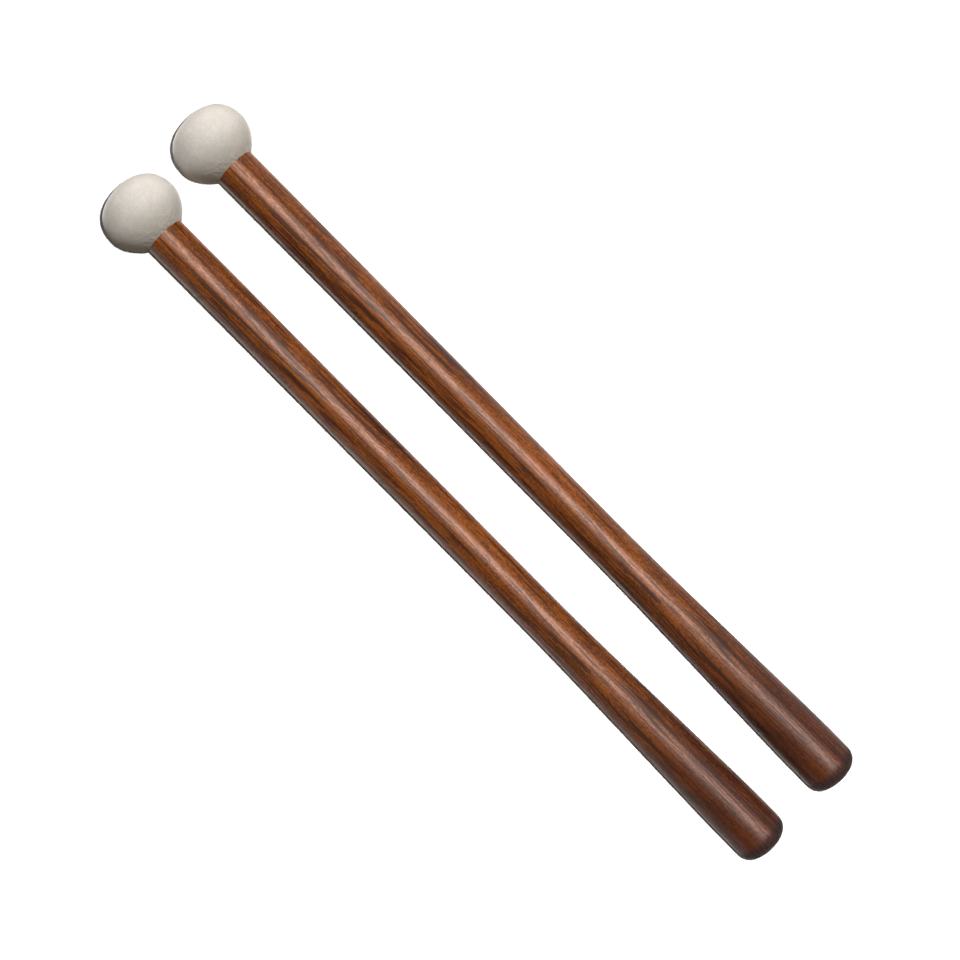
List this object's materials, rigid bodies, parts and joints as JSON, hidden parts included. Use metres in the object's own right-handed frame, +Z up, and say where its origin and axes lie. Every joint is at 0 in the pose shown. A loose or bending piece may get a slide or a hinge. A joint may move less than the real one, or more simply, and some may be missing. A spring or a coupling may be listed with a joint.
{
  "type": "pair of bass drum mallets",
  "caption": "Bass drum mallets: turned hardwood shafts that flare to a round-ended grip, each with a ball of hard felt glued over a hidden tenon.",
  "frame": {"origin": "on the surface that the mallets lie on, under the middle of the pair's box", "axes": "+X along the shafts from the butts to the felt heads, +Y across the pair towards the left mallet, +Z up"},
  "size_m": [0.3684, 0.0716, 0.0326],
  "materials": {
    "stained_wood": "reddish-brown stain under a satin lacquer",
    "hard_felt": "matte pressed felt, warm off-white",
    "dried_glue": "dried wood glue, hidden inside the head"
  },
  "bodies": {
    "left_mallet": {"left_shaft": "stained_wood", "left_felt_head": "hard_felt", "left_glue_bond": "dried_glue"},
    "right_mallet": {"right_shaft": "stained_wood", "right_felt_head": "hard_felt", "right_glue_bond": "dried_glue"}
  },
  "joints": [
    {"name": "right_mallet_lift", "type": "slide", "parent": "left_mallet", "child": "right_mallet", "axis": [0, 0, 1], "range_m": [0, 0.08]}
  ]
}
